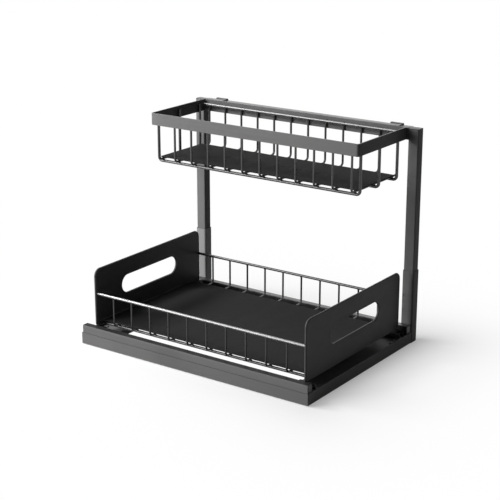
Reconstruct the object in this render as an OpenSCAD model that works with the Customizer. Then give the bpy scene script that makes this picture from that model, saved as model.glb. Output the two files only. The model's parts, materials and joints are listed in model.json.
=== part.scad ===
// Two-tier under sink organizer: a low base frame with a pull-out wire drawer on ball slides,
// two plug-in posts with a crossbar, and a wire basket that hooks onto the crossbar.
// Millimetres. +X runs along the long side, -Y is the front, +Z is up.
// The origin is at the centre of the footprint, on the floor.

/* [Base frame] */
// Length of the base along the drawer's travel
base_w = 420; // [380:1:470]
// Depth of the base, front skirt to the backs of the posts
base_d = 314; // [290:1:350]
// Height of the skirt's top edge above the floor
skirt_top = 18.6; // [16:0.2:22]
// Sheet thickness of the skirts
skirt_t = 1.2; // [0.8:0.1:1.6]
// Depth of the front and rear bars
bar_d = 12; // [9:0.5:14]
// Height of the bars' top faces above the floor
bar_top = 31; // [27:0.5:36]
// Wall of the bars' tube
bar_wall = 1.2; // [0.8:0.1:1.5]
// Corner radius of the bars' tube
bar_r = 1.6; // [1.5:0.1:2.4]
// Gap between a bar's end and the side skirt
bar_end_gap = 0.6; // [0.3:0.1:1.2]
// Width of the cross plates under the slides
plate_w = 40; // [30:1:60]
// Sheet thickness of the cross plates
plate_t = 1.2; // [1:0.1:1.5]
// Depth of the cross plates' folded edges
plate_fold = 9; // [6:0.5:11]
// Length of the clips that tie the side skirts to the cross plates
clip_len = 24; // [16:1:30]
// Width of the clips' foot
clip_w = 9; // [8:0.5:12]
// Sheet thickness of the clips
clip_t = 1.2; // [1:0.1:1.5]
// Diameter of the clip screws' shanks
clip_screw_dia = 3; // [2.6:0.1:3.4]
// Height of the rubber feet
foot_h = 1; // [0.5:0.1:2]
// Diameter of the rubber feet
foot_dia = 10; // [7:0.5:12]
// Distance of the feet from the base's ends
foot_inset = 25; // [15:1:60]

/* [Posts and crossbar] */
// Height of the upper frame's top above the floor
frame_top = 341; // [310:1:400]
// Width of the post tube, along X
tube_w = 17; // [14:0.5:20]
// Depth of the post tube and the crossbar, along Y
tube_d = 15.8; // [13:0.2:18]
// Wall of the post tube and the crossbar
tube_wall = 1.2; // [0.8:0.1:1.5]
// Corner radius of the tubes
tube_r = 1.6; // [1:0.1:2.4]
// Wall of the post sleeves
sleeve_wall = 1.2; // [1:0.1:1.6]
// Clearance between a tube and its sleeve, on each side
sleeve_fit = 0.1; // [0.05:0.01:0.3]
// Height of the sleeves' top ends above the floor
sleeve_top = 117; // [95:1:140]
// How far a post tube plugs into its sleeve
socket_depth = 62; // [45:1:75]
// Height of the crossbar's section
crossbar_h = 18.7; // [15:0.1:24]
// Depth of the plastic plugs in the tube ends
plug_depth = 10; // [6:0.5:15]
// Thickness of the caps on the posts' upper ends
post_cap_t = 1.6; // [1.2:0.1:2.5]
// Rise of the caps' crowned tops
post_cap_crown = 1; // [0.4:0.1:1]
// Thickness of the shelf that the post rests on
stop_t = 2; // [1.5:0.1:3]
// Thickness of the plug under the post's lower end
foot_plug_t = 2; // [1.5:0.1:3]
// Clearance of a plug in its tube, on each side
plug_fit = 0.1; // [0.05:0.01:0.2]

/* [Upper basket] */
// Depth of the basket, front face to rear face
basket_d = 141; // [120:1:160]
// Height of the basket, rim to lowest wire
basket_h = 80.5; // [70:0.5:110]
// Gap between the basket and each post
basket_side_gap = 2.2; // [1:0.1:5]
// Gap between the basket's rear bar and the crossbar
basket_rear_gap = 0.3; // [0.2:0.05:0.6]
// Height of the flat rim band
band_h = 18.9; // [14:0.1:24]
// Thickness of the flat rim band
band_t = 2; // [1.5:0.1:3]
// Outer corner radius of the rim band
band_r = 4; // [3:0.5:8]
// Diameter of the thin wires that run front to back
basket_cross_dia = 3.5; // [2.5:0.1:4]
// Number of thin wires
basket_cross_count = 12; // [8:1:14]
// Distance of the first thin wire from the basket's end
basket_cross_inset = 12.4; // [11:0.1:16]
// Bend radius of the basket's wires, at the centre line
basket_bend = 6; // [4.5:0.5:9]
// Diameter of the thick wires that run along the basket
basket_long_dia = 4.6; // [4:0.1:5.5]
// Number of thick wires
basket_long_count = 3; // [2:1:4]
// Distance of the first thick wire from the basket's front face
long_front_inset = 14.4; // [13:0.2:20]
// Distance of the last thick wire from the basket's rear face
long_rear_inset = 19.6; // [18:0.2:26]
// Distance of the wires' top ends below the rim
wire_end_drop = 5.5; // [3:0.5:8]
// Diameter of the wire along the inside of the rear rim
top_wire_dia = 4; // [3:0.1:5]
// Distance of that wire's centre below the rim
top_wire_drop = 7; // [5:0.5:10]
// Width of a hanging hook
hook_w = 21; // [15:1:24]
// Distance of a hook's centre from the basket's end
hook_inset = 25.2; // [25:0.1:28.4]
// Sheet thickness of the hooks
hook_t = 1.2; // [1:0.1:1.2]
// Rise of the hook's bend over the crossbar's rear edge
hook_rise = 1.3; // [0.8:0.1:2]
// Length of the hook's lip behind the crossbar
hook_lip = 14; // [10:0.5:18]
// Clearance between the hook's lip and the crossbar
hook_gap = 0.1; // [0.05:0.05:0.3]
// Depth of the hook's crown, front to back
hook_crown = 3; // [2:0.1:4]
// Length of the basket's liner
basket_mat_w = 364; // [300:1:366]
// Depth of the basket's liner
basket_mat_d = 110; // [90:1:120]
// Thickness of the basket's liner
basket_mat_t = 1.5; // [1:0.1:2.5]
// Distance of the liner's centre in front of the basket's middle
basket_mat_shift = 3.5; // [2:0.5:5]

/* [Drawer] */
// Distance of the side panels' outer faces from the base's ends
drawer_end_inset = 14.3; // [12:0.1:18]
// Gap between the panels and the front and rear bars
drawer_gap = 3.05; // [2:0.05:5]
// Height of the side panels
panel_h = 93.4; // [80:0.5:120]
// Thickness of the side panels
panel_t = 3.4; // [3:0.1:4]
// Diameter of the rounded edge round the side panels
panel_edge_dia = 4; // [4:0.1:5]
// Radius of the panels' top corners
panel_r = 12; // [6:0.5:20]
// Radius of the panels' bottom corners
panel_foot_r = 6; // [5.5:0.5:9]
// Length of the handle slot
slot_len = 138; // [100:1:160]
// Height of the handle slot
slot_h = 29; // [25:0.5:34]
// Height of the slot's centre above the panel's lower edge
slot_rise = 50.4; // [44:0.2:56]
// Height of the fence rails' centres above the panels' lower edges
rail_rise = 53.2; // [40:0.2:60]
// Diameter of the fence rails
rail_dia = 4.4; // [3.6:0.1:5]
// Distance of the fence rails' centres from the panels' edges
rail_inset = 4.6; // [4.2:0.1:6]
// Diameter of the thin wires that run front to back
drawer_cross_dia = 3; // [2.4:0.1:3.5]
// Number of thin wires
drawer_cross_count = 10; // [7:1:12]
// Bend radius of the drawer's wires, at the centre line
drawer_bend = 6; // [4.5:0.5:9]
// Diameter of the thick wires under the drawer's floor
drawer_long_dia = 4.4; // [3.6:0.1:5]
// Number of thick wires
drawer_long_count = 4; // [3:1:6]
// Distance of the first thick wire from the panels' edges
drawer_long_inset = 17; // [16:0.5:22]
// Gap between the drawer's liner and the side panels
drawer_mat_end_gap = 2; // [1:0.5:6]
// Gap between the drawer's liner and the fences' wires
drawer_mat_side_gap = 8.5; // [6:0.5:14]
// Thickness of the drawer's liner
drawer_mat_t = 1.2; // [0.8:0.1:2]
// Corner radius of the liners
mat_r = 4; // [2:0.5:6]
// Width of the angle lugs that hold the drawer on its moving rails
lug_w = 9; // [7:0.5:10]
// Reach of the lugs inwards from the side panels
lug_reach = 12; // [10:0.5:16]
// Height of the lugs
lug_h = 5.5; // [5:0.5:7]
// Sheet thickness of the lugs
lug_t = 2; // [1.5:0.1:2.2]
// Gap between the moving rails and the side panels above them
lug_gap = 2.8; // [2:0.1:3.5]
// Diameter of the drawer screws' shanks
screw_dia = 3.4; // [2.8:0.1:3.8]
// Height of the drawer screws' heads
screw_head_h = 1.2; // [1:0.1:2]

/* [Ball slides] */
// Length of the moving rails that stays behind the cages at full pull
rail_hold = 11.4; // [8:0.1:30]
// Width of a slide's fixed rail
slide_w = 15; // [14.6:0.1:16]
// Gap between a slide and the bar beside it
slide_gap = 0.4; // [0.2:0.1:1]
// Distance of the fixed rails' ends from the base's ends
slide_end_inset = 6; // [3:0.5:8]
// Diameter of the balls
ball_dia = 3; // [2.6:0.1:3]
// Running clearance of a ball, on the radius
ball_fit = 0.05; // [0.02:0.01:0.08]
// Number of balls in each row
ball_count = 9; // [5:1:12]
// Length of the ball cages
cage_len = 110; // [80:1:140]
// Distance of the end balls from the cages' ends
ball_inset = 7; // [4:0.5:10]
// Distance of the cage stops from the fixed rails' ends
cage_stop_inset = 13.7; // [10:0.1:18]
// Gap under the cages
cage_gap = 1.6; // [1.2:0.1:2]
// Sheet thickness of the cages
cage_t = 0.7; // [0.5:0.1:0.8]
// Sheet thickness of the rails
rail_t = 1; // [0.8:0.1:1.1]
// Height of the balls' centres above the fixed rail's underside
ball_rise = 6.5; // [6.2:0.1:7.5]
// Clearance of the moving rail above the skirt that it passes over
pass_gap = 0.5; // [0.3:0.1:1]
// Diameter of the rivet shanks
rivet_dia = 3.2; // [2.4:0.1:3.6]
// Height of the rivets' heads
rivet_head_h = 0.8; // [0.6:0.1:1]
// Distance of the outer rivets from the base's ends
rivet_inset = 24; // [20:1:27]
// Distance between the rivets of a pair
rivet_pitch = 10; // [8:0.5:11]

/* [Hidden] */
// Facets of round shapes
$fn = 48;
// Hairline between faces that are welded or rest on each other
seam = 0.02;
// Small overlap of shapes that are fused
bite = 0.01;
// Overrun of cuts past the faces that they open
cut = 1;
// Inset of the pads under the sleeves from the sleeves' outlines
pad_inset = 0.5;
// How far the screws' tips stand out of the sheet that they hold
screw_proud = 0.4;

// Base frame, from the front skirt to the backs of the sleeves
front_y = -base_d / 2;
rear_y = base_d / 2;
sleeve_w = tube_w + 2 * (sleeve_fit + sleeve_wall);
sleeve_d = tube_d + 2 * (sleeve_fit + sleeve_wall);
sleeve_front_y = rear_y - sleeve_d;
front_bar_in = front_y + skirt_t + bar_d;
rear_bar_in = sleeve_front_y - bar_d;
mid_y = (front_bar_in + rear_bar_in) / 2;
bar_len = base_w - 2 * (skirt_t + bar_end_gap);
skirt_h = skirt_top - foot_h;
plate_outer_x = base_w / 2 - skirt_t - seam;

// Screw and rivet heads
clip_head_dia = 1.8 * clip_screw_dia;
rivet_head_dia = 2 * rivet_dia;
rivet_tail_dia = 1.6 * rivet_dia;
screw_head_dia = 2 * screw_dia;

// Running clearances inside a slide: balls below the moving rail's edge, races beside the cage,
// cage above the balls, roof above the cage, and the two stops at the cage's ends
ball_drop = 0.1;
race_gap = 0.2;
cage_over = 0.4;
roof_gap = 0.5;
stop_gap = 0.3;
tab_gap = 0.1;
// Where the stops on the rails end, below the cage's upper face and above its lower one
stop_drop = 0.1;
tab_rise = 0.2;
// Distance of the bumpers from the fixed rails' ends
bumper_inset = 1;

// Slides lie flat on the cross plates, just inside the bars
ball_r = ball_dia / 2;
groove_r = ball_r + ball_fit;
inner_low = skirt_top + pass_gap;
ball_z = inner_low + ball_r - ball_drop;
slide_z = ball_z - ball_rise;
plate_top = slide_z - seam;
ball_u = slide_w / 2 - groove_r - rail_t;
cage_half = ball_u + cage_t / 2;
groove_open = cage_t / 2 + race_gap;
cage_low = slide_z + rail_t + cage_gap;
cage_top = ball_z + ball_r + cage_over;
inner_top = cage_top + roof_gap + rail_t;
slide_front_y = front_bar_in + slide_gap + slide_w / 2;
slide_rear_y = rear_bar_in - slide_gap - slide_w / 2;
clip_front_y = slide_front_y + slide_w / 2 + slide_gap + clip_len / 2;
clip_rear_y = slide_rear_y - slide_w / 2 - slide_gap - clip_len / 2;
clip_screw_x = plate_outer_x - seam - (clip_w + clip_t) / 2;
outer_half = base_w / 2 - slide_end_inset;
travel = base_w - 2 * drawer_end_inset - cage_len - rail_hold;
stop_x = outer_half - cage_stop_inset;
cage_right = stop_x - stop_gap - travel / 2;
cage_x = cage_right - cage_len / 2;
inner_tab_x = cage_right - cage_len - travel / 2 - tab_gap;
ball_pitch = (cage_len - 2 * ball_inset) / (ball_count - 1);
rivet_x = [base_w / 2 - rivet_inset, base_w / 2 - rivet_inset - rivet_pitch];

// Drawer, carried on the moving rails
drawer_half_w = base_w / 2 - drawer_end_inset;
drawer_d = rear_bar_in - front_bar_in - 2 * drawer_gap;
panel_low = inner_top + lug_gap;
panel_inner_x = drawer_half_w - panel_edge_dia / 2 - panel_t / 2;
panel_mid_x = drawer_half_w - panel_edge_dia / 2;
drawer_long_z = panel_low + drawer_long_dia / 2;
drawer_cross_z = drawer_long_z + (drawer_long_dia + drawer_cross_dia) / 2 + seam;
drawer_mat_z = drawer_cross_z + drawer_cross_dia / 2 + seam;
fence_y = drawer_d / 2 - rail_inset;
fence_z = panel_low + rail_rise;
drawer_cross_pitch = 2 * drawer_half_w / (drawer_cross_count + 1);
drawer_long_pitch = (drawer_d - 2 * drawer_long_inset) / (drawer_long_count - 1);
lug_end_x = panel_inner_x - lug_reach;
lug_screw_x = (lug_end_x + panel_inner_x - lug_t) / 2;

// Upper frame
post_x = base_w / 2 - sleeve_wall - sleeve_fit - tube_w / 2;
post_y = rear_y - sleeve_wall - sleeve_fit - tube_d / 2;
tube_low = sleeve_top - socket_depth;
stop_z = tube_low - foot_plug_t - stop_t - 2 * seam;
crossbar_len = 2 * (post_x - tube_w / 2 - seam);
crossbar_front_y = post_y - tube_d / 2;
crossbar_rear_y = post_y + tube_d / 2;

// Basket, hung from the crossbar; the hooks' ramp and bend are cut corners of their path
hook_ramp = 1.5;
hook_bend = 1;
basket_w = 2 * (post_x - tube_w / 2 - basket_side_gap);
basket_rear_y = crossbar_front_y - basket_rear_gap;
basket_front_y = basket_rear_y - basket_d;
basket_mid_y = (basket_front_y + basket_rear_y) / 2;
rim_z = frame_top + hook_t;
basket_low = rim_z - basket_h;
basket_long_z = basket_low + basket_long_dia / 2;
basket_cross_z = basket_long_z + (basket_long_dia + basket_cross_dia) / 2 + seam;
basket_mat_z = basket_cross_z + basket_cross_dia / 2 + seam;
basket_cross_pitch = (basket_w - 2 * basket_cross_inset) / (basket_cross_count - 1);
basket_cross_span = basket_d - 2 * band_t - basket_cross_dia - 2 * seam;
basket_long_span = basket_w - 2 * band_t - basket_long_dia - 2 * seam;
basket_long_pitch = (basket_d - long_front_inset - long_rear_inset) / (basket_long_count - 1);
wire_end_z = rim_z - wire_end_drop;
top_wire_y = basket_rear_y - band_t - basket_cross_dia - top_wire_dia / 2 - 2 * seam;

// Finishes
powder_black = "#3a3b3d";
satin_black = "#2a2b2c";
liner_black = "#303132";
wire_black = "#1d1e20";
slide_black = "#27282a";
screw_black = "#1f2022";
rubber_black = "#151515";

// Points of a strip of sheet that follows a bent path, mitred at its corners
function unit(v) = v / norm(v);
function left_of(v) = [-v[1], v[0]];
function leg_before(path, i) = unit(path[max(i, 1)] - path[max(i, 1) - 1]);
function leg_after(path, i) = unit(path[min(i + 1, len(path) - 1)] - path[min(i, len(path) - 2)]);
function mitre(path, i) = unit(left_of(leg_before(path, i)) + left_of(leg_after(path, i)));
function shift(path, i, t) =
    mitre(path, i) * t / 2 / (mitre(path, i) * left_of(leg_before(path, i)));
function strip(path, t) = concat(
    [for (i = [0:len(path) - 1]) path[i] + shift(path, i, t)],
    [for (i = [len(path) - 1:-1:0]) path[i] - shift(path, i, t)]
);

// Rectangle with rounded corners, centred
module round_rect(w, d, r) {
    square([w - 2 * r, d], center = true);
    square([w, d - 2 * r], center = true);
    for (x = [-1, 1], y = [-1, 1])
        translate([x * (w / 2 - r), y * (d / 2 - r)]) circle(r = r);
}

// Upright rectangular tube with its axis on Z
module tube(w, d, h, wall, r) {
    linear_extrude(h) difference() {
        round_rect(w, d, r);
        square([w - 2 * wall, d - 2 * wall], center = true);
    }
}

// Straight wire along X, centred
module rod(len, dia) {
    rotate([0, 90, 0]) cylinder(d = dia, h = len, center = true);
}

// Wire bent to a U: its floor lies along X at z = 0, with a leg up at each end
module u_wire(span, leg, dia, bend) {
    floor_len = span - 2 * bend;
    rod(floor_len, dia);
    for (side = [-1, 1]) {
        translate([side * span / 2, 0, bend]) cylinder(d = dia, h = leg - bend);
        translate([side * floor_len / 2, 0, bend])
            rotate([90, 0, 0])
            rotate([0, 0, side > 0 ? -90 : 180])
            rotate_extrude(angle = 90)
            translate([bend, 0]) circle(d = dia);
    }
}

// Base frame

module front_skirt() {
    color(powder_black)
    translate([0, front_y, foot_h]) linear_extrude(skirt_h) {
        translate([0, skirt_t / 2]) square([base_w - 2 * skirt_t, skirt_t], center = true);
        for (side = [-1, 1])
            translate([side * (base_w / 2 - skirt_t), skirt_t]) intersection() {
                circle(r = skirt_t);
                translate([side * skirt_t / 2, -skirt_t / 2]) square(skirt_t, center = true);
            }
    }
}

module side_skirt(side) {
    len = sleeve_front_y - front_y - skirt_t - 2 * seam;
    translate([side * (base_w / 2 - skirt_t / 2), sleeve_front_y - seam - len / 2, foot_h + skirt_h / 2])
        cube([skirt_t, len, skirt_h], center = true);
}

module left_skirt() color(powder_black) side_skirt(-1);

module right_skirt() color(powder_black) side_skirt(1);

// Rectangular tube along X; its centre line is at the given depth
module long_bar(y) {
    h = bar_top - foot_h;
    translate([0, y, foot_h + h / 2]) rotate([0, 90, 0])
        translate([0, 0, -bar_len / 2]) tube(h, bar_d - 2 * seam, bar_len, bar_wall, bar_r);
}

module front_bar() color(powder_black) long_bar(front_bar_in - bar_d / 2);

module rear_bar() color(powder_black) long_bar(rear_bar_in + bar_d / 2);

module bar_end_caps() {
    cap_len = plug_depth / 2;
    h = bar_top - foot_h - 2 * (bar_wall + plug_fit);
    d = bar_d - 2 * seam - 2 * (bar_wall + plug_fit);
    color(rubber_black)
    for (side = [-1, 1], y = [front_bar_in - bar_d / 2, rear_bar_in + bar_d / 2])
        translate([side * (bar_len - cap_len) / 2, y, (bar_top + foot_h) / 2])
            cube([cap_len, d, h], center = true);
}

// Inverted channel that ties the bars together and carries the slides' ends
module cross_plate(side) {
    len = rear_bar_in - front_bar_in - 2 * seam;
    difference() {
        translate([side * (plate_outer_x - plate_w / 2), mid_y, plate_top]) rotate([90, 0, 0])
            linear_extrude(len, center = true)
            polygon(strip([
                [-plate_w / 2 + plate_t / 2, -plate_fold],
                [-plate_w / 2 + plate_t / 2, -plate_t / 2],
                [plate_w / 2 - plate_t / 2, -plate_t / 2],
                [plate_w / 2 - plate_t / 2, -plate_fold]
            ], plate_t));
        for (x = rivet_x, y = [slide_front_y, slide_rear_y])
            translate([side * x, y, plate_top - plate_t - cut])
                cylinder(d = rivet_dia + 2 * plug_fit, h = plate_t + 2 * cut);
        for (y = [clip_front_y, clip_rear_y])
            translate([side * clip_screw_x, y, plate_top - plate_t - cut])
                cylinder(d = clip_screw_dia + 2 * plug_fit, h = plate_t + 2 * cut);
    }
}

module left_cross_plate() color(satin_black) cross_plate(-1);

module right_cross_plate() color(satin_black) cross_plate(1);

// Places of the four clips; the children face the right-hand skirt
module clip_places() {
    for (side = [0, 1], y = [clip_front_y, clip_rear_y])
        mirror([side, 0, 0]) translate([0, y, plate_top + seam]) children();
}

// Angles between the side skirts and the cross plates
module skirt_clips() {
    leg_h = skirt_top - plate_top - seam;
    color(satin_black)
    clip_places() difference() {
        translate([plate_outer_x, 0, 0]) {
            translate([-clip_w / 2, 0, clip_t / 2]) cube([clip_w, clip_len, clip_t], center = true);
            translate([-clip_t / 2, 0, leg_h / 2]) cube([clip_t, clip_len, leg_h], center = true);
        }
        translate([clip_screw_x, 0, -cut]) cylinder(d = clip_screw_dia + 2 * plug_fit, h = clip_t + 2 * cut);
    }
}

module clip_screws() {
    grip = clip_t + plate_t + 2 * seam;
    color(screw_black)
    clip_places() translate([clip_screw_x, 0, 0]) {
        translate([0, 0, clip_t + seam]) cylinder(d = clip_head_dia, h = clip_screw_dia / 2);
        translate([0, 0, clip_t - grip - screw_proud])
            cylinder(d = clip_screw_dia, h = grip + screw_proud + 2 * seam);
    }
}

module rubber_feet() {
    color(rubber_black)
    for (side = [-1, 1], y = [front_bar_in - bar_d / 2, rear_bar_in + bar_d / 2])
        translate([side * (base_w / 2 - foot_inset), y, 0]) cylinder(d = foot_dia, h = foot_h - seam);
}

// Sleeve with an inner shelf that the post's foot rests on
module post_sleeve(side) {
    translate([side * post_x, post_y, 0]) {
        translate([0, 0, foot_h])
            tube(sleeve_w, sleeve_d, sleeve_top - foot_h, sleeve_wall, tube_r + sleeve_fit + sleeve_wall);
        translate([0, 0, stop_z]) linear_extrude(stop_t)
            round_rect(sleeve_w - sleeve_wall, sleeve_d - sleeve_wall, tube_r + sleeve_fit + sleeve_wall / 2);
    }
}

// Plugs with a pad that close the sleeves' lower ends and stand on the floor
module sleeve_caps() {
    w = sleeve_w - 2 * (sleeve_wall + plug_fit);
    d = sleeve_d - 2 * (sleeve_wall + plug_fit);
    color(rubber_black)
    for (side = [-1, 1])
        translate([side * post_x, post_y, 0]) {
            linear_extrude(foot_h - seam)
                round_rect(sleeve_w - 2 * pad_inset, sleeve_d - 2 * pad_inset, tube_r);
            linear_extrude(plug_depth) square([w, d], center = true);
        }
}

module left_post_sleeve() color(powder_black) post_sleeve(-1);

module right_post_sleeve() color(powder_black) post_sleeve(1);

// Ball slides

// Half of the ball race that faces outwards or inwards, at the row's centre
module race(direction) {
    reach = groove_r + rail_t;
    intersection() {
        difference() {
            circle(r = reach);
            circle(r = groove_r);
        }
        translate([direction * (groove_open + reach / 2), 0]) square([reach, 2 * reach], center = true);
    }
}

// Section of the fixed rail: a floor, two sides and the outer races, seen along X
module outer_section() {
    side_x = slide_w / 2 - rail_t / 2;
    translate([0, rail_t / 2]) square([slide_w, rail_t], center = true);
    for (side = [-1, 1]) {
        translate([side * side_x, ball_rise / 2]) square([rail_t, ball_rise], center = true);
        translate([side * ball_u, ball_rise]) race(side);
    }
}

// Section of the moving rail: an arched channel with the inner races
module inner_section() {
    leg_x = ball_u - groove_r - rail_t / 2;
    top = inner_top - slide_z;
    translate([0, top - rail_t / 2]) square([2 * leg_x + rail_t, rail_t], center = true);
    for (side = [-1, 1]) {
        translate([side * leg_x, (ball_rise + top) / 2])
            square([rail_t, top - ball_rise], center = true);
        intersection() {
            translate([side * ball_u, ball_rise]) race(-side);
            translate([0, inner_low - slide_z + ball_dia]) square([slide_w, 2 * ball_dia], center = true);
        }
    }
}

// Extrudes a slide section along X between two places, on a slide's centre line
module along_slide(y, x0, x1) {
    translate([x0, y, slide_z]) rotate([90, 0, 90]) linear_extrude(x1 - x0) children();
}

module outer_rail(y) {
    difference() {
        along_slide(y, -outer_half, outer_half) outer_section();
        for (side = [-1, 1], x = rivet_x)
            translate([side * x, y, slide_z - cut])
                cylinder(d = rivet_dia + 2 * plug_fit, h = rail_t + 2 * cut);
    }
    stop_w = slide_w / 3;
    translate([stop_x, y - stop_w / 2, slide_z + rail_t - bite])
        cube([rail_t, stop_w, cage_gap + cage_t - stop_drop]);
}

module front_outer_rail() color(slide_black) outer_rail(slide_front_y);

module rear_outer_rail() color(slide_black) outer_rail(slide_rear_y);

module inner_rail(y) {
    half_tab = ball_u - groove_r;
    tab_low = cage_low + tab_rise;
    difference() {
        along_slide(y, -drawer_half_w, drawer_half_w) inner_section();
        for (side = [-1, 1])
            translate([side * lug_screw_x, y, inner_top - rail_t - cut])
                cylinder(d = screw_dia + 2 * plug_fit, h = rail_t + 2 * cut);
    }
    translate([inner_tab_x - rail_t, y - half_tab, tab_low])
        cube([rail_t, 2 * half_tab, inner_top - rail_t / 2 - tab_low]);
}

module front_inner_rail() color(slide_black) inner_rail(slide_front_y);

module rear_inner_rail() color(slide_black) inner_rail(slide_rear_y);

// Places of the balls in a slide's two rows
module ball_places(y) {
    for (row = [-1, 1], i = [0:ball_count - 1])
        translate([cage_x + (i - (ball_count - 1) / 2) * ball_pitch, y + row * ball_u, ball_z]) children();
}

module ball_cage(y) {
    leg_h = cage_top - cage_low;
    difference() {
        translate([0, 0, cage_low - slide_z])
            along_slide(y, cage_x - cage_len / 2, cage_x + cage_len / 2) {
                translate([0, cage_t / 2]) square([2 * cage_half, cage_t], center = true);
                for (side = [-1, 1])
                    translate([side * ball_u, leg_h / 2]) square([cage_t, leg_h], center = true);
            }
        ball_places(y) rotate([90, 0, 0]) cylinder(r = groove_r, h = cage_t + 2 * cut, center = true);
    }
}

module front_ball_cage() color(slide_black) ball_cage(slide_front_y);

module rear_ball_cage() color(slide_black) ball_cage(slide_rear_y);

module front_balls() color("silver") ball_places(slide_front_y) sphere(d = ball_dia);

module rear_balls() color("silver") ball_places(slide_rear_y) sphere(d = ball_dia);

// Rivets that hold the fixed rails on the cross plates
module rail_rivets() {
    grip = rail_t + plate_t + seam;
    color(screw_black)
    for (side = [-1, 1], x = rivet_x, y = [slide_front_y, slide_rear_y])
        translate([side * x, y, plate_top - plate_t]) {
            cylinder(d = rivet_dia, h = grip);
            translate([0, 0, grip + seam]) cylinder(d = rivet_head_dia, h = rivet_head_h);
            translate([0, 0, grip - bite]) cylinder(d = rivet_dia, h = 2 * seam);
            translate([0, 0, -rivet_head_h - seam]) cylinder(d = rivet_tail_dia, h = rivet_head_h);
            translate([0, 0, -2 * seam]) cylinder(d = rivet_dia, h = 2 * seam + bite);
        }
}

// Blocks that the moving rails stop against when the drawer is shut
module slide_bumpers() {
    end_x = outer_half - bumper_inset;
    len = end_x - drawer_half_w - seam;
    w = 2 * (ball_u - groove_r);
    h = inner_top - slide_z - rail_t - seam;
    color(rubber_black)
    for (y = [slide_front_y, slide_rear_y])
        translate([-end_x, y - w / 2, slide_z + rail_t + seam]) cube([len, w, h]);
}

// Upper frame

module post_tube(side) {
    h = frame_top - post_cap_t - seam - tube_low;
    translate([side * post_x, post_y, tube_low]) tube(tube_w, tube_d, h, tube_wall, tube_r);
}

module left_post_tube() color(powder_black) post_tube(-1);

module right_post_tube() color(powder_black) post_tube(1);

module crossbar() {
    color(powder_black)
    translate([0, post_y, frame_top - crossbar_h / 2]) rotate([0, 90, 0])
        translate([0, 0, -crossbar_len / 2]) tube(crossbar_h, tube_d, crossbar_len, tube_wall, tube_r);
}

// Plug that fills the end of a post tube
module tube_plug(h) {
    w = tube_w - 2 * (tube_wall + plug_fit);
    d = tube_d - 2 * (tube_wall + plug_fit);
    linear_extrude(h) square([w, d], center = true);
}

// Caps with a plug below; their tops are crowned from front to back
module post_top_plugs() {
    crown_r = (pow(tube_d / 2, 2) + pow(post_cap_crown, 2)) / (2 * post_cap_crown);
    color(satin_black)
    for (side = [-1, 1])
        translate([side * post_x, post_y, frame_top]) {
            translate([0, 0, -post_cap_t - plug_depth]) tube_plug(plug_depth + bite);
            intersection() {
                translate([0, 0, -post_cap_t]) linear_extrude(post_cap_t) round_rect(tube_w, tube_d, tube_r);
                translate([0, 0, -crown_r]) rod(tube_w + cut, 2 * crown_r, $fn = 240);
            }
        }
}

module post_foot_plugs() {
    color(rubber_black)
    for (side = [-1, 1])
        translate([side * post_x, post_y, tube_low]) {
            translate([0, 0, -foot_plug_t - seam])
                linear_extrude(foot_plug_t) round_rect(tube_w, tube_d, tube_r);
            translate([0, 0, -foot_plug_t / 2]) tube_plug(plug_depth);
        }
}

// Upper basket

module basket_band() {
    color(powder_black)
    translate([0, basket_mid_y, rim_z - band_h]) linear_extrude(band_h) difference() {
        round_rect(basket_w, basket_d, band_r);
        round_rect(basket_w - 2 * band_t, basket_d - 2 * band_t, band_r - band_t);
    }
}

module basket_cross_wires() {
    color(wire_black)
    for (i = [0:basket_cross_count - 1])
        translate([(i - (basket_cross_count - 1) / 2) * basket_cross_pitch, basket_mid_y, basket_cross_z])
            rotate([0, 0, 90])
            u_wire(basket_cross_span, wire_end_z - basket_cross_z, basket_cross_dia, basket_bend);
}

module basket_long_wires() {
    color(wire_black)
    for (i = [0:basket_long_count - 1])
        translate([0, basket_front_y + long_front_inset + i * basket_long_pitch, basket_long_z])
            u_wire(basket_long_span, wire_end_z - basket_long_z, basket_long_dia, basket_bend);
}

module basket_top_wire() {
    color(wire_black)
    translate([0, top_wire_y, rim_z - top_wire_drop]) rod(basket_w - 2 * band_t - 2 * seam, top_wire_dia);
}

// Strip of sheet from the rear rim, over the crossbar and down behind it
module basket_hooks() {
    strap_z = frame_top + seam + hook_t / 2;
    crown_z = strap_z + hook_rise;
    lip_y = crossbar_rear_y + hook_gap + hook_t / 2;
    crown_y = lip_y - hook_bend;
    ramp_y = crown_y - hook_crown;
    color(powder_black)
    for (side = [-1, 1])
        translate([side * (basket_w / 2 - hook_inset) - hook_w / 2, 0, 0]) rotate([90, 0, 90])
            linear_extrude(hook_w) polygon(strip([
                [basket_rear_y + seam, strap_z],
                [ramp_y - hook_ramp, strap_z],
                [ramp_y, crown_z],
                [crown_y, crown_z],
                [lip_y, crown_z - hook_bend],
                [lip_y, crown_z - hook_lip]
            ], hook_t));
}

module basket_liner() {
    color(liner_black)
    translate([0, basket_mid_y - basket_mat_shift, basket_mat_z])
        linear_extrude(basket_mat_t) round_rect(basket_mat_w, basket_mat_d, mat_r);
}

// Drawer

// Outline of a side panel, less a margin all round
module panel_outline(margin) {
    w = drawer_d - 2 * margin;
    h = panel_h - 2 * margin;
    r_top = panel_r - margin;
    r_low = panel_foot_r - margin;
    translate([0, margin + h / 2]) {
        translate([0, (r_low - r_top) / 2]) square([w, h - r_top - r_low], center = true);
        translate([0, (h - r_top) / 2]) square([w - 2 * r_top, r_top + bite], center = true);
        translate([0, -(h - r_low) / 2]) square([w - 2 * r_low, r_low + bite], center = true);
        for (side = [-1, 1]) {
            translate([side * (w / 2 - r_top), h / 2 - r_top]) circle(r = r_top);
            translate([side * (w / 2 - r_low), r_low - h / 2]) circle(r = r_low);
        }
    }
}

// Handle slot, more by a margin all round
module slot_outline(margin) {
    r = slot_h / 2 + margin;
    translate([0, slot_rise]) {
        square([slot_len - slot_h, 2 * r], center = true);
        for (side = [-1, 1]) translate([side * (slot_len - slot_h) / 2, 0]) circle(r = r);
    }
}

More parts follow.
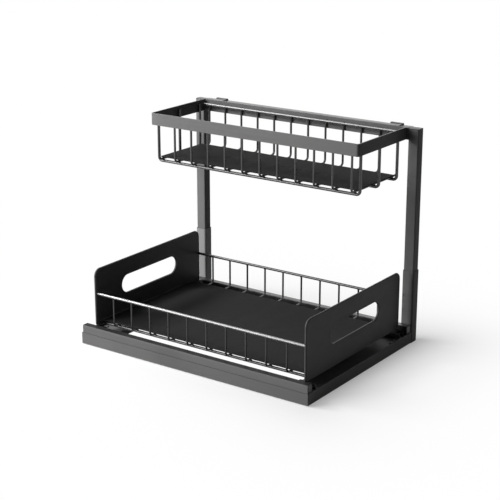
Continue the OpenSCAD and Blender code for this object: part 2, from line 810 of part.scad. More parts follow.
// Round edge along a straight stretch, drawn from its middle
module edge_rod(len, turn) {
    rotate([0, 0, turn]) rod(len, panel_edge_dia);
}

// Round edge along an arc that starts at the given angle
module edge_arc(r, start, angle) {
    rotate([0, 0, start]) rotate_extrude(angle = angle) translate([r, 0]) circle(d = panel_edge_dia);
}

// Round edge that runs all round the panel
module outer_bead() {
    e = panel_edge_dia / 2;
    w = drawer_d / 2;
    translate([0, panel_h - e, 0]) edge_rod(2 * (w - panel_r), 0);
    translate([0, e, 0]) edge_rod(2 * (w - panel_foot_r), 0);
    for (side = [-1, 1]) {
        translate([side * (w - e), (panel_h - panel_r + panel_foot_r) / 2, 0])
            edge_rod(panel_h - panel_r - panel_foot_r, 90);
        translate([side * (w - panel_r), panel_h - panel_r, 0])
            edge_arc(panel_r - e, side > 0 ? 0 : 90, 90);
        translate([side * (w - panel_foot_r), panel_foot_r, 0])
            edge_arc(panel_foot_r - e, side > 0 ? -90 : 180, 90);
    }
}

// Round edge of the handle slot
module slot_bead() {
    e = panel_edge_dia / 2;
    for (side = [-1, 1]) {
        translate([0, slot_rise + side * (slot_h / 2 + e), 0]) edge_rod(slot_len - slot_h, 0);
        translate([side * (slot_len - slot_h) / 2, slot_rise, 0])
            edge_arc(slot_h / 2 + e, side > 0 ? -90 : 90, 180);
    }
}

// Side panel, flat on the XY plane and centred on its thickness
module panel_blank() {
    e = panel_edge_dia / 2;
    linear_extrude(panel_t, center = true) difference() {
        panel_outline(e);
        slot_outline(e);
    }
    union() outer_bead();
    union() slot_bead();
}

module side_panel(side) {
    foot_len = panel_mid_x - lug_end_x;
    leg_len = panel_mid_x - panel_inner_x + lug_t;
    translate([side * panel_mid_x, mid_y, panel_low]) rotate([90, 0, 90]) panel_blank();
    // Angles that are screwed to the moving rails
    for (y = [slide_front_y, slide_rear_y])
        translate([0, y, inner_top + seam]) difference() {
            union() {
                translate([side * (panel_mid_x - foot_len / 2), 0, lug_t / 2])
                    cube([foot_len, lug_w, lug_t], center = true);
                translate([side * (panel_mid_x - leg_len / 2), 0, lug_h / 2])
                    cube([leg_len, lug_w, lug_h], center = true);
            }
            translate([side * lug_screw_x, 0, -cut])
                cylinder(d = screw_dia + 2 * plug_fit, h = lug_t + 2 * cut);
        }
}

module left_side_panel() color(satin_black) side_panel(-1);

module right_side_panel() color(satin_black) side_panel(1);

module fence_rail(side) {
    translate([0, mid_y + side * fence_y, fence_z]) rod(2 * (panel_inner_x - seam), rail_dia);
}

module front_fence_rail() color(wire_black) fence_rail(-1);

module rear_fence_rail() color(wire_black) fence_rail(1);

module drawer_cross_wires() {
    leg = fence_z - rail_dia / 2 - seam - drawer_cross_z;
    color(wire_black)
    for (i = [0:drawer_cross_count - 1])
        translate([(i - (drawer_cross_count - 1) / 2) * drawer_cross_pitch, mid_y, drawer_cross_z])
            rotate([0, 0, 90]) u_wire(2 * fence_y, leg, drawer_cross_dia, drawer_bend);
}

module drawer_long_wires() {
    color(wire_black)
    for (i = [0:drawer_long_count - 1])
        translate([0, mid_y - drawer_d / 2 + drawer_long_inset + i * drawer_long_pitch, drawer_long_z])
            rod(2 * (panel_mid_x - panel_edge_dia / 2 - seam), drawer_long_dia);
}

module drawer_liner() {
    w = 2 * (panel_inner_x - drawer_mat_end_gap);
    d = 2 * (fence_y - drawer_mat_side_gap);
    color(liner_black)
    translate([0, mid_y, drawer_mat_z]) linear_extrude(drawer_mat_t) round_rect(w, d, mat_r);
}

module drawer_screws() {
    head_z = inner_top + lug_t + 2 * seam;
    tip_z = inner_top - rail_t - screw_proud;
    color(screw_black)
    for (side = [-1, 1], y = [slide_front_y, slide_rear_y])
        translate([side * lug_screw_x, y, 0]) {
            translate([0, 0, head_z]) cylinder(d = screw_head_dia, h = screw_head_h);
            translate([0, 0, tip_z]) cylinder(d = screw_dia, h = head_z + bite - tip_z);
        }
}

front_skirt();
left_skirt();
right_skirt();
front_bar();
rear_bar();
bar_end_caps();
left_cross_plate();
right_cross_plate();
skirt_clips();
clip_screws();
rubber_feet();
left_post_sleeve();
right_post_sleeve();
sleeve_caps();
front_outer_rail();
rear_outer_rail();
rail_rivets();
slide_bumpers();
left_post_tube();
right_post_tube();
crossbar();
post_top_plugs();
post_foot_plugs();
basket_band();
basket_cross_wires();
basket_long_wires();
basket_top_wire();
basket_hooks();
basket_liner();
left_side_panel();
right_side_panel();
drawer_cross_wires();
drawer_long_wires();
front_fence_rail();
rear_fence_rail();
drawer_liner();
front_inner_rail();
rear_inner_rail();
drawer_screws();
front_ball_cage();
front_balls();
rear_ball_cage();
rear_balls();
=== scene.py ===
import json
import math

import bmesh
import bpy
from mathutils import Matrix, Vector


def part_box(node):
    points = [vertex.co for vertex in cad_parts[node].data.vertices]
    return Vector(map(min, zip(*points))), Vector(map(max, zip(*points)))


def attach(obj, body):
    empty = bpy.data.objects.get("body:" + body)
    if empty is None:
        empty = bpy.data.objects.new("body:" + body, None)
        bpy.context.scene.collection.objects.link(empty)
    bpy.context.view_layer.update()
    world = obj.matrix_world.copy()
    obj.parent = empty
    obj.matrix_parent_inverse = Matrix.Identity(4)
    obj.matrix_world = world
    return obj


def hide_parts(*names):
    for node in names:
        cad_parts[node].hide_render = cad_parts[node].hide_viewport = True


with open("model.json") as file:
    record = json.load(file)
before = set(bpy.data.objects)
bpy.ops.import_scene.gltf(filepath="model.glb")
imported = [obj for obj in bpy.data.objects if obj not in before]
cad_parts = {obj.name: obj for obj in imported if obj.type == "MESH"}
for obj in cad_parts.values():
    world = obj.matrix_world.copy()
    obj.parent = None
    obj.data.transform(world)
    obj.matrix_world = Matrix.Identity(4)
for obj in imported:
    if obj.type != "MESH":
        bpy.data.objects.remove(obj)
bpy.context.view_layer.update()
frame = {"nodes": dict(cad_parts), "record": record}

NODES = frame["nodes"]
BODY_OF = {node: body for body, nodes in frame["record"]["behaviour"]["bodies"].items() for node in nodes}
SLOT_OF = {s["node"]: s["material_slot"] for s in frame["record"]["subparts"]}
MM = 0.001


class Tree:
    """Short ways to build a node tree."""

    def __init__(self, tree):
        self.tree = tree

    def node(self, kind, inputs=None, **settings):
        """New node; an input is linked where its value is a socket, and set otherwise."""
        made = self.tree.nodes.new(kind)
        for key, value in settings.items():
            setattr(made, key, value)
        for socket, value in (inputs or {}).items():
            if isinstance(value, bpy.types.NodeSocket):
                self.tree.links.new(value, made.inputs[socket])
            else:
                made.inputs[socket].default_value = value
        return made

    def math(self, operation, *values):
        return self.node("ShaderNodeMath", dict(enumerate(values)), operation=operation).outputs[0]

    def seen(self):
        """1 for camera, glossy and transmission rays, 0 for the rays that carry light to the object."""
        rays = self.node("ShaderNodeLightPath").outputs
        mirrored = self.math("MAXIMUM", rays["Is Glossy Ray"], rays["Is Transmission Ray"])
        return self.math("MAXIMUM", rays["Is Camera Ray"], mirrored)


# Materials


class Mat(Tree):
    """A principled material whose detail comes from nodes on object coordinates, in metres."""

    def __init__(self, name, **sockets):
        self.material = bpy.data.materials.new(name)
        self.material.use_nodes = True
        super().__init__(self.material.node_tree)
        self.shader = self.tree.nodes["Principled BSDF"]
        self.place = self.node("ShaderNodeTexCoord").outputs["Object"]
        for socket, value in sockets.items():
            self.shader.inputs[socket.replace("_", " ")].default_value = value

    def link(self, source, socket):
        self.tree.links.new(source, self.shader.inputs[socket])

    def noise(self, scale, detail=2.0, rough=0.5, stretch=None):
        place = self.place
        if stretch:
            place = self.node("ShaderNodeMapping", {"Vector": place, "Scale": stretch}).outputs["Vector"]
        inputs = {"Vector": place, "Scale": scale, "Detail": detail, "Roughness": rough}
        return self.node("ShaderNodeTexNoise", inputs).outputs["Fac"]

    def cells(self, scale):
        return self.node("ShaderNodeTexVoronoi", {"Vector": self.place, "Scale": scale}).outputs["Distance"]

    def span(self, factor, low, high, start=0.3, end=0.7):
        """Stretches a factor from start..end, where most of a noise lies, to low..high."""
        inputs = {"Value": factor, "From Min": start, "From Max": end, "To Min": low, "To Max": high}
        return self.node("ShaderNodeMapRange", inputs).outputs["Result"]

    def up_facing(self):
        """1 on faces that look up, 0 on upright ones."""
        normal = self.node("ShaderNodeTexCoord").outputs["Normal"]
        upward = self.node("ShaderNodeSeparateXYZ", {0: normal}).outputs["Z"]
        return self.span(upward, 0, 1, 0.5, 0.95)

    def tints(self, factor, base, dark, light, top=None, top_shade_colour=None):
        """Drifts the base colour between two shares of it; faces where top is 1 take a plain colour of
        painted shade.
        """
        ramp = self.node("ShaderNodeValToRGB", {"Fac": factor})
        for stop, position, share in zip(ramp.color_ramp.elements, (0.3, 0.7), (dark, light)):
            stop.position = position
            stop.color = (*(min(1.0, c * share) for c in base), 1)
        colour = ramp.outputs["Color"]
        if top:
            inputs = {"Factor": top, "A": colour, "B": (*top_shade_colour, 1)}
            colour = self.node("ShaderNodeMix", inputs, data_type="RGBA").outputs["Result"]
        self.link(colour, "Base Color")

    def add(self, a, b, share):
        return self.math("MULTIPLY_ADD", b, share, a)

    def bump(self, height, strength, depth):
        """Bump of the given strength; the depth is in millimetres."""
        inputs = {"Height": height, "Strength": strength, "Distance": depth * MM}
        self.link(self.node("ShaderNodeBump", inputs).outputs["Normal"], "Normal")


def satin(name, run, base, specular, top_shade_colour, top_specular):
    """Satin coat over drawn metal: faint streaks along the run and a fine orange peel.

    Its level faces take a plain colour of painted shade and a gloss of their own.
    """
    along, across = 2.5, 260
    m = Mat(name)
    streaks = m.noise(1.0, 4, 0.7, tuple(along if axis == run else across for axis in "xyz"))
    # Level faces: painted shade in place of the coat's own colour
    top = m.up_facing()
    m.tints(m.add(m.noise(8, 3, 0.5), streaks, 0.35), base, 0.82, 1.15, top, top_shade_colour)
    m.link(m.span(top, specular, top_specular, 0, 1), "Specular IOR Level")
    m.link(m.span(streaks, 0.34, 0.48), "Roughness")
    m.bump(m.add(m.noise(1500, 2, 0.6), streaks, 1.2), 0.16, 0.05)
    return m.material


def powder(name, base, rough, specular):
    """Powder coat: orange peel in two sizes and a little drift in colour and gloss."""
    m = Mat(name, Specular_IOR_Level=specular)
    m.tints(m.noise(9, 3, 0.55), base, 0.9, 1.1)
    m.link(m.span(m.noise(60, 4, 0.6), rough - 0.04, rough + 0.05), "Roughness")
    m.bump(m.add(m.noise(1500, 2, 0.6), m.noise(4200, 1), 0.35), 0.18, 0.05)
    return m.material


def wire_coat(name, base, index):
    """Glossy dip coat on the wires, slightly uneven along them; a higher index mirrors more."""
    m = Mat(name, IOR=index)
    m.tints(m.noise(25, 3), base, 0.85, 1.15)
    m.link(m.span(m.noise(300, 3), 0.25, 0.36), "Roughness")
    m.bump(m.noise(700, 2, 0.6), 0.12, 0.05)
    return m.material


def moulded(name, base, rough, grain, specular):
    """Moulded plastic or rubber with a fine spark-eroded grain."""
    m = Mat(name, Specular_IOR_Level=specular)
    m.tints(m.noise(40, 3), base, 0.88, 1.12)
    m.link(m.span(m.noise(500, 3), rough - 0.05, rough + 0.05), "Roughness")
    m.bump(m.noise(grain, 3, 0.65), 0.3, 0.06)
    return m.material


def pebbled(name, base):
    """Flexible liner sheet with a fine pebbled face and next to no gloss."""
    m = Mat(name, Specular_IOR_Level=0.01)
    m.tints(m.noise(7, 4, 0.6), base, 0.93, 1.07)
    m.link(m.span(m.noise(350, 3), 0.6, 0.72), "Roughness")
    m.bump(m.add(m.cells(900), m.noise(2400), 0.5), 0.3, 0.1)
    return m.material


def polished(name, base):
    """Polished steel with fine marks in its gloss."""
    m = Mat(name, Metallic=1.0)
    m.tints(m.noise(30, 5, 0.65), base, 0.85, 1.1)
    marks = m.noise(1260, 4, 0.6)
    m.link(m.span(marks, 0.08, 0.26), "Roughness")
    m.bump(marks, 0.12, 0.04)
    return m.material


BLACK = (0.135, 0.133, 0.133)
# Painted light: a paler copy of the coat, for the sleeve where the lamps at the left fall closest
PAINTED_LIGHT_BLACK = (0.22, 0.217, 0.217)
# Painted shade: the plain colour of the satin coats' level faces
PAINTED_TOP_SHADE = (0.035, 0.035, 0.035)
# Painted shade: the front bar's top and the rear bar's upright faces
SHADED_BLACK = (0.025, 0.025, 0.025)
SATIN_X = satin("satin_black_x", "x", BLACK, 0.05, PAINTED_TOP_SHADE, 0.5)
SATIN_Y = satin("satin_black_y", "y", BLACK, 0.05, PAINTED_TOP_SHADE, 0.5)
SATIN_Z = satin("satin_black_z", "z", BLACK, 0.05, PAINTED_TOP_SHADE, 0.5)
RAIL_COAT = wire_coat("glossy_black_rail", (0.03, 0.03, 0.03), 2.2)

# The coat of each frame tube and sheet by the way it runs, with the few that look different: a paler sleeve
# of painted light, bar faces of painted shade, glossier rails
OWN_COAT = {
    "front_skirt": SATIN_X,
    "crossbar": SATIN_X,
    "basket_band": SATIN_X,
    "left_skirt": SATIN_Y,
    "right_skirt": SATIN_Y,
    "basket_hooks": SATIN_Y,
    "right_post_sleeve": SATIN_Z,
    "left_post_tube": SATIN_Z,
    "right_post_tube": SATIN_Z,
    # Paler copy of the coat: painted light
    "left_post_sleeve": satin("satin_black_left_sleeve_painted_light", "z", PAINTED_LIGHT_BLACK, 0.15, PAINTED_TOP_SHADE, 0.5),
    # Its top is painted shade
    "front_bar": satin("satin_black_front_bar", "x", BLACK, 0.05, SHADED_BLACK, 0.02),
    # Its upright faces are painted shade
    "rear_bar": satin("satin_black_rear_bar", "x", SHADED_BLACK, 0.1, PAINTED_TOP_SHADE, 0.5),
    "front_fence_rail": RAIL_COAT,
    "basket_top_wire": RAIL_COAT,
}
SLOT_COAT = {
    "panel": powder("satin_black_panel", (0.075, 0.075, 0.075), 0.4, 0.08),
    "wire": wire_coat("glossy_black_wire", (0.012, 0.012, 0.012), 1.6),
    "cap": moulded("black_cap_plastic", (0.04, 0.04, 0.041), 0.4, 2200, 0.3),
    "rubber": moulded("black_rubber", (0.018, 0.018, 0.018), 0.75, 900, 0.2),
    "liner": pebbled("pebbled_liner", (0.028, 0.028, 0.028)),
    "slide": powder("black_slide_coat", (0.03, 0.031, 0.033), 0.38, 0.4),
    "fastener": powder("black_oxide", (0.026, 0.026, 0.028), 0.34, 0.5),
    "ball": polished("polished_ball", (0.75, 0.75, 0.76)),
}
for name, node in NODES.items():
    for slot in node.material_slots:
        slot.material = OWN_COAT.get(name) or SLOT_COAT[SLOT_OF[name]]


# Smooth shading and softened edges on the CAD pieces


def smooth_by_angle():
    """Geometry nodes that shade faces smooth and keep edges of 35 degrees or more sharp."""
    group = bpy.data.node_groups.new("smooth_by_angle", "GeometryNodeTree")
    group.interface.new_socket("Geometry", in_out="INPUT", socket_type="NodeSocketGeometry")
    group.interface.new_socket("Geometry", in_out="OUTPUT", socket_type="NodeSocketGeometry")
    tree = Tree(group)
    start = tree.node("NodeGroupInput").outputs[0]
    faces = tree.node("GeometryNodeSetShadeSmooth", {"Geometry": start}).outputs[0]
    angle = tree.node("GeometryNodeInputMeshEdgeAngle").outputs["Unsigned Angle"]
    flat = tree.node("FunctionNodeCompare", {0: angle, 1: math.radians(35)}, operation="LESS_THAN").outputs[0]
    inputs = {"Geometry": faces, "Shade Smooth": flat}
    edges = tree.node("GeometryNodeSetShadeSmooth", inputs, domain="EDGE").outputs[0]
    tree.node("NodeGroupOutput", {0: edges})
    return group


SMOOTH = smooth_by_angle()


def shade_smooth(obj):
    """Welds a CAD mesh and shades it smooth between its sharp edges, by modifiers alone."""
    obj.modifiers.new("weld", "WELD").merge_threshold = 0.001 * MM
    obj.modifiers.new("smooth", "NODES").node_group = SMOOTH


def soften(obj, width):
    """Shades a mesh and rounds its sharp edges; the width is in millimetres."""
    shade_smooth(obj)
    bevel = obj.modifiers.new("edges", "BEVEL")
    bevel.width = width * MM
    bevel.segments = 3
    bevel.limit_method = "ANGLE"
    bevel.angle_limit = math.radians(40)
    bevel.harden_normals = True


def flatten(obj):
    """Shades a mesh that has curves of its own, and keeps the flat faces beside them flat."""
    shade_smooth(obj)
    normals = obj.modifiers.new("flat_faces", "WEIGHTED_NORMAL")
    normals.weight = 100
    normals.keep_sharp = True


EDGE_WIDTHS = {
    0.45: ["front_skirt", "left_skirt", "right_skirt", "left_post_sleeve", "right_post_sleeve", "crossbar"],
    0.4: ["front_bar", "rear_bar", "left_post_tube", "right_post_tube", "basket_band", "basket_hooks"],
    0.3: ["left_cross_plate", "right_cross_plate", "skirt_clips", "bar_end_caps", "post_top_plugs",
          "post_foot_plugs", "sleeve_caps", "slide_bumpers"],
}
for width, names in EDGE_WIDTHS.items():
    for name in names:
        soften(NODES[name], width)
CURVED = ["basket_cross_wires", "basket_long_wires", "basket_top_wire", "left_side_panel",
          "right_side_panel", "drawer_cross_wires", "drawer_long_wires", "front_fence_rail",
          "rear_fence_rail", "front_outer_rail", "rear_outer_rail", "front_inner_rail",
          "rear_inner_rail", "front_ball_cage", "rear_ball_cage", "front_balls", "rear_balls"]
for name in CURVED:
    flatten(NODES[name])


# Pieces made as meshes: mats, welds, screws, rivets and feet


def solids(name):
    """(lowest corner, highest corner) of each separate solid of a CAD node, in order of place."""
    bm = bmesh.new()
    bm.from_mesh(NODES[name].data)
    bmesh.ops.remove_doubles(bm, verts=bm.verts, dist=0.001 * MM)
    left = set(bm.verts)
    boxes = []
    while left:
        grown = [left.pop()]
        corners = []
        while grown:
            vert = grown.pop()
            corners.append(vert.co.copy())
            for edge in vert.link_edges:
                other = edge.other_vert(vert)
                if other in left:
                    left.remove(other)
                    grown.append(other)
        low = Vector([min(c[i] for c in corners) for i in range(3)])
        high = Vector([max(c[i] for c in corners) for i in range(3)])
        boxes.append((low, high))
    bm.free()
    return sorted(boxes, key=lambda box: tuple(round(v, 5) for v in box[0]))


def piece(name, like, fill, stands_for=()):
    """Mesh object that the given function fills, on the body and slot of a CAD node."""
    bm = bmesh.new()
    fill(bm)
    bmesh.ops.recalc_face_normals(bm, faces=bm.faces)
    mesh = bpy.data.meshes.new(name)
    bm.to_mesh(mesh)
    bm.free()
    mesh.materials.append(SLOT_COAT[SLOT_OF[like]])
    obj = bpy.data.objects.new(name, mesh)
    bpy.context.collection.objects.link(obj)
    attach(obj, BODY_OF[like])
    if stands_for:
        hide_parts(*stands_for)
    obj.modifiers.new("smooth", "NODES").node_group = SMOOTH


def skin(bm, loops):
    """Closed skin over a row of loops with equal counts, capped at both ends."""
    rows = [[bm.verts.new(point) for point in loop] for loop in loops]
    count = len(rows[0])
    for a, b in zip(rows, rows[1:]):
        for i in range(count):
            j = (i + 1) % count
            bm.faces.new((a[i], a[j], b[j], b[i]))
    bm.faces.new(rows[0])
    bm.faces.new(list(reversed(rows[-1])))


def rounded(half_x, half_y, radius, steps_x, steps_y):
    """Points round a rectangle with rounded corners, with the given steps along its sides."""
    radius = min(radius, half_x * 0.98, half_y * 0.98)
    flat_x, flat_y = half_x - radius, half_y - radius
    points = []
    for quarter, (side_x, side_y) in enumerate(((1, 1), (-1, 1), (-1, -1), (1, -1))):
        for step in range(7):
            angle = math.radians(90 * quarter + 15 * step)
            x = side_x * flat_x + radius * math.cos(angle)
            y = side_y * flat_y + radius * math.sin(angle)
            points.append((x, y))
        along_x = quarter % 2 == 0
        steps = steps_x if along_x else steps_y
        for step in range(1, steps):
            share = 2 * step / steps
            points.append((x - side_x * flat_x * share, y) if along_x else (x, y - side_y * flat_y * share))
    return points


MAT_CORNER = 4 * MM
LEAST_CORNER = 0.3 * MM
MAT_SAG = 0.12
MAT_ROLL = 0.42


def mat(bm, low, high, pitch):
    """Flexible sheet with rolled edges that settles a little between the wires under it."""
    middle = (low + high) / 2
    half = (high - low) / 2
    sag = (high.z - low.z) * MAT_SAG
    thick = high.z - low.z - sag
    roll = MAT_ROLL * thick
    insets = [half.y * share for share in (0.985, 0.8, 0.6, 0.4, 0.25, 0.12, 0.05)]
    edge = [(roll, 0), (roll * 0.3, roll * 0.25), (0, roll)]
    profile = [(inset, thick) for inset in insets]
    profile += [(inset, thick - drop) for inset, drop in edge]
    profile += [(inset, drop) for inset, drop in reversed(edge)]
    profile += [(inset, 0) for inset in reversed(insets)]
    loops = []
    for inset, height in profile:
        corner = max(MAT_CORNER - inset, LEAST_CORNER)
        loop = []
        for x, y in rounded(half.x - inset, half.y - inset, corner, 70, 20):
            settle = 0.5 - 0.5 * math.cos(2 * math.pi * x / pitch)
            loop.append((middle.x + x, middle.y + y, low.z + sag * (1 - settle) + height))
        loops.append(loop)
    skin(bm, loops)
    caps = [face for face in bm.faces if len(face.verts) > 4]
    bmesh.ops.triangulate(bm, faces=caps, ngon_method="BEAUTY")


def bead(bm, centre, along, up, size, seed):
    """Weld nugget: a lumpy lens of the given length, width and height, in millimetres."""
    along, up = Vector(along), Vector(up)
    side = up.cross(along)
    length, width, height = (s * MM for s in size)
    loops = []
    for tilt in (-80, -52, -24, 4, 32, 60, 82):
        tilt = math.radians(tilt)
        loop = []
        for step in range(14):
            angle = 2 * math.pi * step / 14
            lump = 1 + 0.1 * math.sin(3 * angle + seed) + 0.07 * math.sin(5 * angle + 2.3 * seed)
            out = math.cos(tilt) * lump / 2
            point = Vector(centre) + along * (out * length * math.cos(angle))
            point += side * (out * width * math.sin(angle)) + up * (math.sin(tilt) * height / 2)
            loop.append(point)
        loops.append(loop)
    skin(bm, loops)


X, Y, Z = (1, 0, 0), (0, 1, 0), (0, 0, 1)
BAND_WELD_DROPS = (8.5, 15)


def crossings(bm, upper, lower, size):
    """Beads where wires along Y lie on wires along X."""
    for i, (a, b) in enumerate(solids(upper)):
        for j, (c, d) in enumerate(solids(lower)):
            centre = ((a.x + b.x) / 2, (c.y + d.y) / 2, a.z)
            bead(bm, centre, Y if (i + j) % 2 else X, Z, size, i * 1.7 + j)


def basket_beads(bm):
    """Welds of the basket: floor crossings, legs on the band, top wire on the legs and band."""
    crossings(bm, "basket_cross_wires", "basket_long_wires", (5.4, 4.4, 1.6))
    band_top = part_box("basket_band")[1].z
    low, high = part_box("basket_top_wire")
    wire_z = (low.z + high.z) / 2
    for i, (a, b) in enumerate(solids("basket_cross_wires")):
        x = (a.x + b.x) / 2
        for side, y in ((-1, a.y), (1, b.y)):
            for drop in BAND_WELD_DROPS:
                bead(bm, (x, y, band_top - drop * MM), Z, Y, (3.2, 3.4, 0.9), i + side + drop * 0.9)
        bead(bm, (x, high.y, wire_z), X, Y, (4.2, 3.2, 1.3), i * 2.1)
    for i, (a, b) in enumerate(solids("basket_long_wires")):
        y = (a.y + b.y) / 2
        for side, x in ((-1, a.x), (1, b.x)):
            for drop in BAND_WELD_DROPS:
                bead(bm, (x, y, band_top - drop * MM), Z, X, (3.6, 4, 0.9), i + side + drop * 0.7)
    sink = 0.4 * MM
    for side, x in ((-1, low.x), (1, high.x)):
        bead(bm, (x - side * sink, (low.y + high.y) / 2, wire_z), Z, X, (5.2, 4.8, 1.2), side + 3)


def drawer_beads(bm):
    """Welds of the drawer: floor crossings, legs under the rails, wire ends on the side panels."""
    crossings(bm, "drawer_cross_wires", "drawer_long_wires", (4.8, 3.9, 1.4))
    for i, (a, b) in enumerate(solids("drawer_cross_wires")):
        x = (a.x + b.x) / 2
        for rail in ("front_fence_rail", "rear_fence_rail"):
            low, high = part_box(rail)
            bead(bm, (x, (low.y + high.y) / 2, b.z - 0.1 * MM), X, Z, (4.1, 3.7, 1.3), i * 1.3 + low.y * 90)
    sink = 0.35 * MM
    for name, size in (("drawer_long_wires", 5.4), ("front_fence_rail", 5.3), ("rear_fence_rail", 5.3)):
        for i, (a, b) in enumerate(solids(name)):
            y, z = (a.y + b.y) / 2, (a.z + b.z) / 2
            for side, x in ((-1, a.x), (1, b.x)):
                centre = (x - side * sink, y, z)
                bead(bm, centre, Y, X, (size, size * 0.92, 1.1), i + side + size * 0.5)


def around(x, y, z, reach):
    """Loop of points about an upright axis; reach gives the distance from it at each angle."""
    points = []
    for step in range(48):
        angle = 2 * math.pi * step / 48
        points.append((x + reach(angle) * math.cos(angle), y + reach(angle) * math.sin(angle), z))
    return points


def ring(x, y, radius, z):
    return around(x, y, z, lambda angle: radius)


def cross(x, y, arm, z):
    """Loop round a recess with four arms of the given length, each 30 degrees wide at its end."""
    def reach(angle):
        from_arm = math.radians(45) - abs(angle % math.radians(90) - math.radians(45))
        return arm / max(math.cos(from_arm), math.sin(from_arm) / math.tan(math.radians(15)))
    return around(x, y, z, reach)


def screw(bm, low, high, head_h, shank_r):
    """Pan-head screw with a cross recess; it points down and fills the given box."""
    x, y = (low.x + high.x) / 2, (low.y + high.y) / 2
    head_r = (high.x - low.x) / 2
    seat = high.z - head_h
    arm = 0.58 * head_r
    tip = 0.35 * MM
    loops = [cross(x, y, arm * 0.55, seat + head_h * 0.3), cross(x, y, arm, high.z - head_h * 0.12)]
    loops.append(cross(x, y, arm * 1.05, high.z - head_h * 0.01))
    dome = ((0.66, 0.0), (0.78, 0.07), (0.89, 0.2), (0.96, 0.38), (1.0, 0.62), (1.0, 0.94), (0.97, 1.0))
    loops += [ring(x, y, head_r * reach, high.z - head_h * drop) for reach, drop in dome]
    loops += [ring(x, y, shank_r, seat), ring(x, y, shank_r, low.z + tip), ring(x, y, shank_r - tip, low.z)]
    skin(bm, loops)


def rivet(bm, low, high, head_h, tail_r, shank_r):
    """Rivet with a domed head on top and a set, dimpled tail below."""
    x, y = (low.x + high.x) / 2, (low.y + high.y) / 2
    head_r = (high.x - low.x) / 2
    dome = ((0.2, 0.0), (0.5, 0.08), (0.75, 0.26), (0.92, 0.55), (1.0, 0.85), (0.98, 1.0))
    tail = ((0.97, 1.0), (1.0, 0.8), (0.94, 0.3), (0.7, 0.0), (0.45, 0.05), (0.25, 0.4), (0.1, 0.5))
    loops = [ring(x, y, head_r * reach, high.z - head_h * drop) for reach, drop in dome]
    loops += [ring(x, y, shank_r, high.z - head_h), ring(x, y, shank_r, low.z + head_h)]
    loops += [ring(x, y, tail_r * reach, low.z + head_h * rise) for reach, rise in tail]
    skin(bm, loops)


def foot(bm, low, high):
    """Round rubber foot with a chamfered rim and a groove in its sole."""
    x, y = (low.x + high.x) / 2, (low.y + high.y) / 2
    radius, height = (high.x - low.x) / 2, high.z - low.z
    outline = ((0.3, 1.0), (0.94, 1.0), (1.0, 0.88), (1.0, 0.4), (0.93, 0.08), (0.86, 0.0), (0.66, 0.0),
               (0.62, 0.3), (0.5, 0.3), (0.46, 0.0), (0.1, 0.0))
    skin(bm, [ring(x, y, radius * reach, low.z + height * rise) for reach, rise in outline])


def each(name, shape, *sizes):
    """Piece that fills the place of each solid of a CAD node with one shape."""
    def fill(bm):
        for low, high in solids(name):
            shape(bm, low, high, *sizes)
    return fill


def pitch_of(name):
    """Distance between the wires of a CAD node."""
    places = [(low.x + high.x) / 2 for low, high in solids(name)]
    return (places[-1] - places[0]) / (len(places) - 1)


def drawer_mat(bm):
    """The photo shows the mat's rear edge 8 mm in front of the CAD liner's."""
    low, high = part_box("drawer_liner")
    mat(bm, low, high - Vector((0, 8 * MM, 0)), pitch_of("drawer_cross_wires"))


def basket_mat(bm):
    mat(bm, *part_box("basket_liner"), pitch_of("basket_cross_wires"))


piece("drawer_mat", "drawer_liner", drawer_mat, stands_for=("drawer_liner",))
piece("basket_mat", "basket_liner", basket_mat, stands_for=("basket_liner",))
piece("drawer_weld_beads", "drawer_cross_wires", drawer_beads)
piece("basket_weld_beads", "basket_cross_wires", basket_beads)

# Screws: head height and shank radius. Rivets: head height, tail radius and shank radius.
for name, like, shape, *sizes in (("drawer_pan_screws", "drawer_screws", screw, 1.2, 1.7),
                                  ("clip_pan_screws", "clip_screws", screw, 1.5, 1.5),
                                  ("slide_rivets", "rail_rivets", rivet, 0.8, 2.56, 1.6),
                                  ("grooved_feet", "rubber_feet", foot)):
    piece(name, like, each(like, shape, *(size * MM for size in sizes)), stands_for=(like,))


# Stage, light and camera


def lamp(name, direction, distance, aim_z, size, power):
    """Softbox that stands in the given direction from a point above the middle, and faces it."""
    data = bpy.data.lights.new(name, "AREA")
    data.shape = "RECTANGLE"
    data.size, data.size_y = size
    data.energy = power
    obj = bpy.data.objects.new(name, data)
    bpy.context.collection.objects.link(obj)
    back = Vector(direction).normalized()
    obj.location = Vector((0, 0, aim_z)) + back * distance
    obj.rotation_mode = "QUATERNION"
    obj.rotation_quaternion = (-back).to_track_quat("-Z", "Y")


# The small key makes the sharp shadows, and the low lamp the grey lines on the upright wires
lamp("key", (-0.76, -0.3, 0.57), 1.4, 0.1, (0.3, 0.3), 14)
lamp("front", (-0.57, -0.62, 0.5), 1.8, 0.15, (0.8, 1.7), 26)
lamp("low", (-0.57, -0.8, 0.08), 2.0, 0.12, (1.0, 0.3), 14)
lamp("top", (-0.55, -0.1, 0.83), 2.2, 0.1, (0.25, 0.8), 5)
lamp("back", (-0.5, 0.75, 0.43), 2.3, 0.1, (1.2, 0.8), 5)


FLOOR_HALF = 7.0
FLOOR_BOUNCE = (0.3, 0.3, 0.3, 1)
FLOOR_SEEN = (0.86, 0.86, 0.86, 1)
PATCH_MARGIN = 4 * MM

# Share of the floor's white that is lost at the base, and how far out most of the loss has faded
SHADE_DEPTH = 0.66
SHADE_REACH = 64 * MM


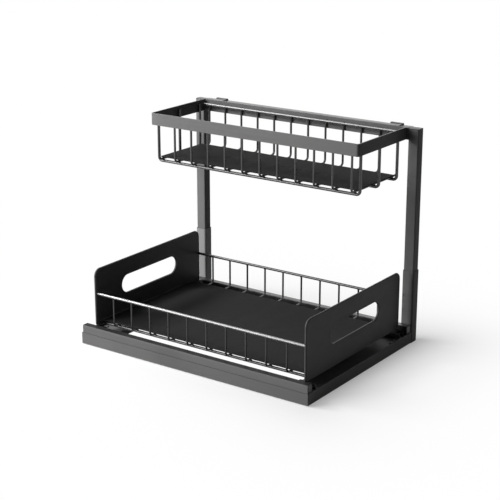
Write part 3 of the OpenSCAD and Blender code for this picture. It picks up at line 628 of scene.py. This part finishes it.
def floor_glow(tree):
    """1 far from the base and on the patch that it encloses, and less close around it."""
    place = tree.node("ShaderNodeTexCoord").outputs["Object"]
    place = tree.node("ShaderNodeSeparateXYZ", {0: place}).outputs
    front_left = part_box("front_skirt")[0]
    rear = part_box("left_post_sleeve")[1].y
    inner_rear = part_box("rear_bar")[1].y
    squares = []
    inside = []
    sides = (("X", front_left.x, -front_left.x, -front_left.x), ("Y", front_left.y, rear, inner_rear))
    for axis, low, high, inner in sides:
        off_base = tree.math("ABSOLUTE", tree.math("SUBTRACT", place[axis], (low + high) / 2))
        beyond = tree.math("MAXIMUM", tree.math("SUBTRACT", off_base, (high - low) / 2), 0)
        squares.append(tree.math("MULTIPLY", beyond, beyond))
        off_patch = tree.math("ABSOLUTE", tree.math("SUBTRACT", place[axis], (low + inner) / 2))
        inside.append(tree.math("LESS_THAN", off_patch, (inner - low) / 2 - PATCH_MARGIN))
    away = tree.math("SQRT", tree.math("ADD", *squares))
    near = tree.math("EXPONENT", tree.math("MULTIPLY", away, -1 / SHADE_REACH))
    open_floor = tree.math("SUBTRACT", 1.0, tree.math("MULTIPLY", near, SHADE_DEPTH))
    return tree.math("MAXIMUM", open_floor, tree.math("MULTIPLY", *inside))


def pale_floor():
    """Floor that shows white with the object's soft shadow beside it.

    It shows its paleness to the camera and in reflections, and returns little light to the object.
    """
    mesh = bpy.data.meshes.new("floor")
    corners = [(x * FLOOR_HALF, y * FLOOR_HALF, 0) for x, y in ((-1, -1), (1, -1), (1, 1), (-1, 1))]
    mesh.from_pydata(corners, [], [(0, 1, 2, 3)])
    floor = bpy.data.objects.new("floor", mesh)
    bpy.context.collection.objects.link(floor)
    material = bpy.data.materials.new("pale_floor")
    material.use_nodes = True
    mesh.materials.append(material)
    material.node_tree.nodes.clear()
    tree = Tree(material.node_tree)
    seen = tree.seen()
    inputs = {"Factor": seen, "A": FLOOR_BOUNCE, "B": FLOOR_SEEN}
    colour = tree.node("ShaderNodeMix", inputs, data_type="RGBA").outputs["Result"]
    diffuse = tree.node("ShaderNodeBsdfDiffuse", {"Color": colour}).outputs[0]
    glow = tree.node("ShaderNodeEmission").outputs[0]
    share = tree.math("MULTIPLY", floor_glow(tree), seen)
    mix = tree.node("ShaderNodeMixShader", {0: share, 1: diffuse, 2: glow}).outputs[0]
    tree.node("ShaderNodeOutputMaterial", {0: mix})


def studio_world():
    """White surroundings to the camera and in reflections, and a weak fill otherwise."""
    world = bpy.data.worlds.new("studio")
    bpy.context.scene.world = world
    world.use_nodes = True
    world.node_tree.nodes.clear()
    tree = Tree(world.node_tree)
    weak = tree.node("ShaderNodeBackground", {"Strength": 0.05}).outputs[0]
    white = tree.node("ShaderNodeBackground", {"Color": (1, 1, 1, 1)}).outputs[0]
    mix = tree.node("ShaderNodeMixShader", {0: tree.seen(), 1: weak, 2: white}).outputs[0]
    tree.node("ShaderNodeOutputWorld", {0: mix})


EYE = (1.14468, -1.62105, 0.77652)
YAW = -0.6147
PITCH = 0.3055
LENS = 97.643


def camera():
    """Camera at the photograph's place: to the right, above, looking at the object's middle."""
    data = bpy.data.cameras.new("camera")
    data.sensor_width = 36
    data.lens = LENS
    data.clip_start, data.clip_end = 0.05, 50
    obj = bpy.data.objects.new("camera", data)
    bpy.context.collection.objects.link(obj)
    obj.location = EYE
    ahead = Vector((math.sin(YAW) * math.cos(PITCH), math.cos(YAW) * math.cos(PITCH), -math.sin(PITCH)))
    obj.rotation_mode = "QUATERNION"
    obj.rotation_quaternion = ahead.to_track_quat("-Z", "Y")
    bpy.context.scene.camera = obj
    bpy.context.scene.view_settings.view_transform = "Standard"


pale_floor()
studio_world()
camera()
